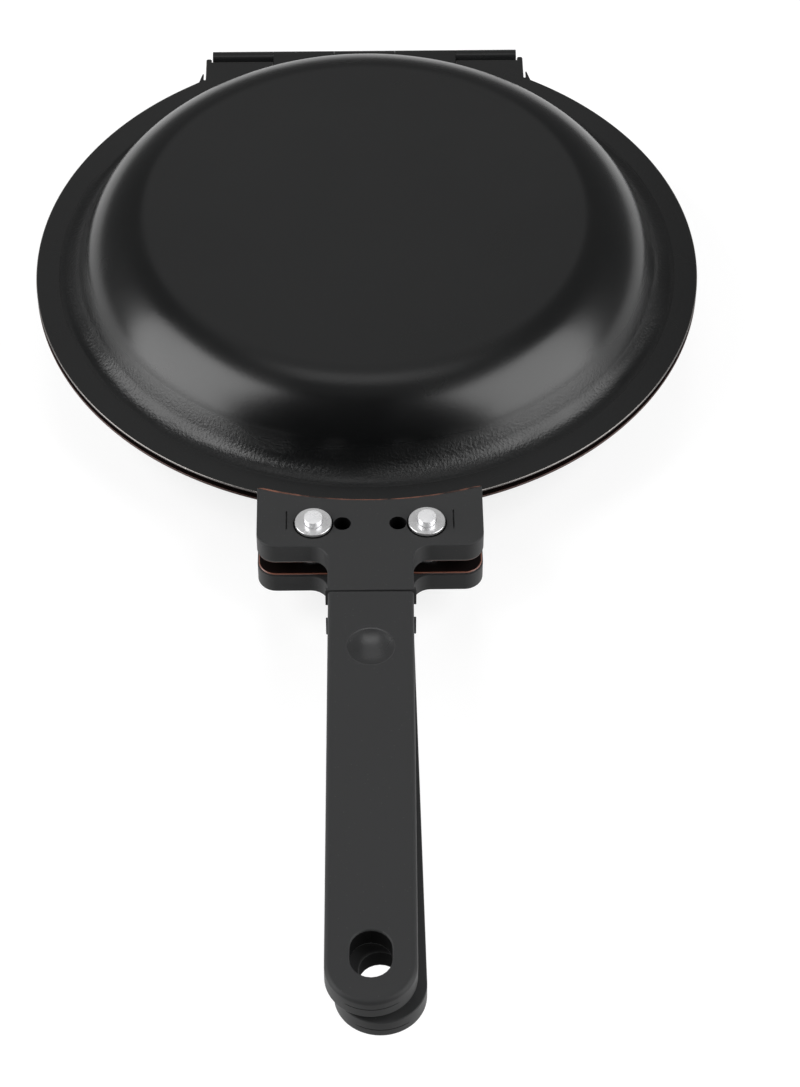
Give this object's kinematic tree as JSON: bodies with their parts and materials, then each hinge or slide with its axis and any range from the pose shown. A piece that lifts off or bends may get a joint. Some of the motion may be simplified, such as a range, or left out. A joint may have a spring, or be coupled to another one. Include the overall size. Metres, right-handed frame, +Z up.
{
  "type": "double sided flip pan",
  "caption": "Two shallow round pans hinged rim to rim, each with its own riveted handle, for cooking both sides by turning over.",
  "frame": {"origin": "middle of the lower pan's flat base, on the table", "axes": "+Z up, +Y from the handles towards the hinge, +X to the right seen from the handle side"},
  "size_m": [0.19, 0.3535, 0.0438],
  "materials": {
    "pan_sheet": "satin black coating outside, copper-coloured non-stick coating inside",
    "hinge_pin": "plain drawn steel",
    "handle_head": "moulded, fine matt texture",
    "tang": "stamped, dull",
    "rivets": "bright",
    "washers": "bright stamped",
    "grip": "moulded, fine matt texture",
    "grip_insert": "turned",
    "grip_screw": "zinc plated",
    "magnet_cup": "drawn",
    "magnet": "nickel plated"
  },
  "bodies": {
    "lower_half": {"lower_pan": "pan_sheet", "hinge_pin": "hinge_pin", "lower_handle_head": "handle_head", "lower_tang": "tang", "lower_rivets": "rivets", "lower_rivet_washers": "washers", "lower_grip": "grip", "lower_grip_insert": "grip_insert", "lower_grip_screw": "grip_screw", "lower_magnet_cup": "magnet_cup", "lower_magnet": "magnet"},
    "upper_half": {"upper_pan": "pan_sheet", "upper_handle_head": "handle_head", "upper_tang": "tang", "upper_rivets": "rivets", "upper_rivet_washers": "washers", "upper_grip": "grip", "upper_grip_insert": "grip_insert", "upper_grip_screw": "grip_screw", "upper_magnet_cup": "magnet_cup", "upper_magnet": "magnet"}
  },
  "joints": [
    {"name": "pan_hinge", "type": "hinge", "parent": "lower_half", "child": "upper_half", "pos_m": [0, 0.09265, 0.0219], "axis": [-1, 0, 0], "range_deg": [0, 180]}
  ]
}
